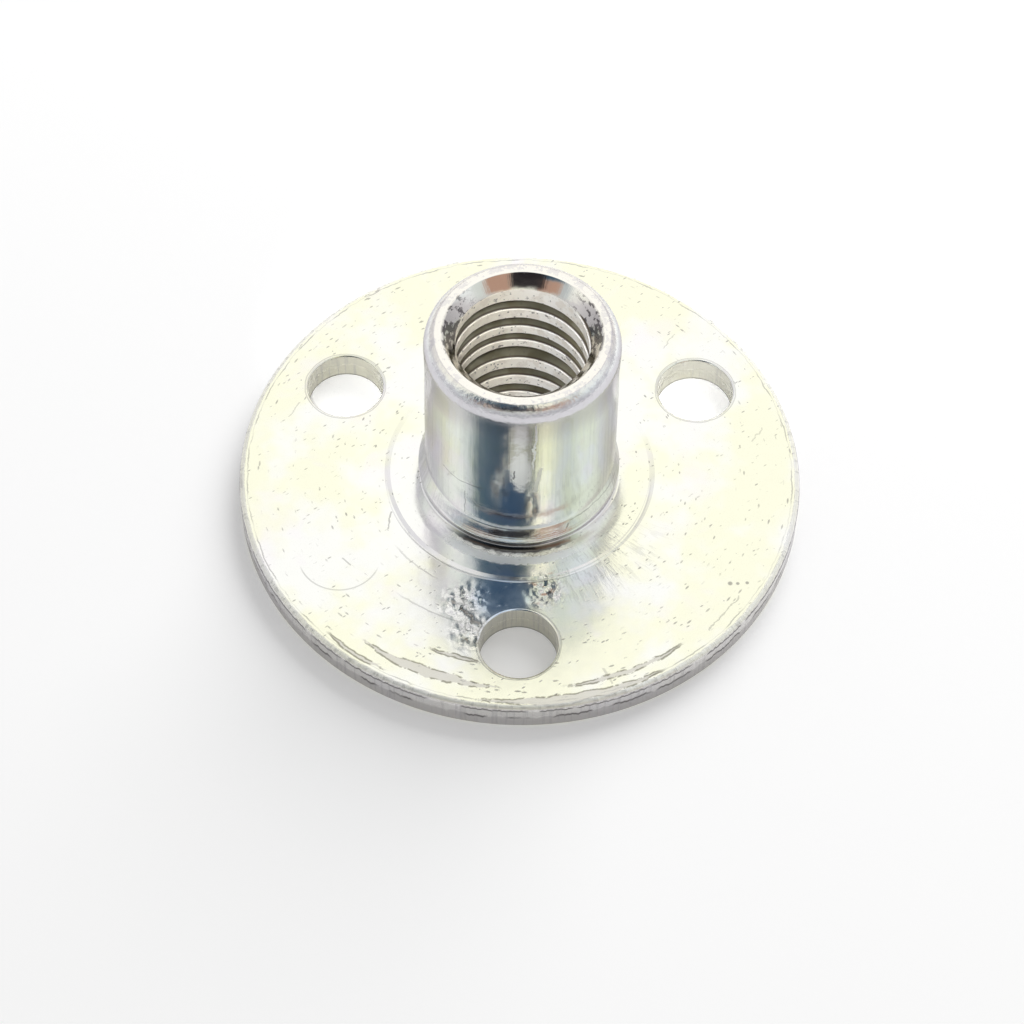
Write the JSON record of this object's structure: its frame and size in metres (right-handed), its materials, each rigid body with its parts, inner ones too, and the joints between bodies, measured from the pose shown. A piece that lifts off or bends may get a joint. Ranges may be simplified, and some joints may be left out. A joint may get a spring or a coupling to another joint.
{
  "type": "weld nut",
  "caption": "Round-flange tee nut drawn from sheet steel: a tapped barrel on a flat flange with mounting holes, giving a board or plate a strong machine thread.",
  "frame": {"origin": "centre of the flange's flat underside, on the thread's axis", "axes": "+Z along the barrel, from the flange to the mouth; -Y from the axis towards one of the mounting holes"},
  "size_m": [0.0302, 0.0302, 0.0134],
  "materials": {
    "zinc_plate": "bright zinc plating with a faint yellow passivation tint, mirror-like on the barrel and finely scratched on the flange"
  },
  "bodies": {
    "root": {"weld_nut": "zinc_plate"}
  },
  "joints": []
}
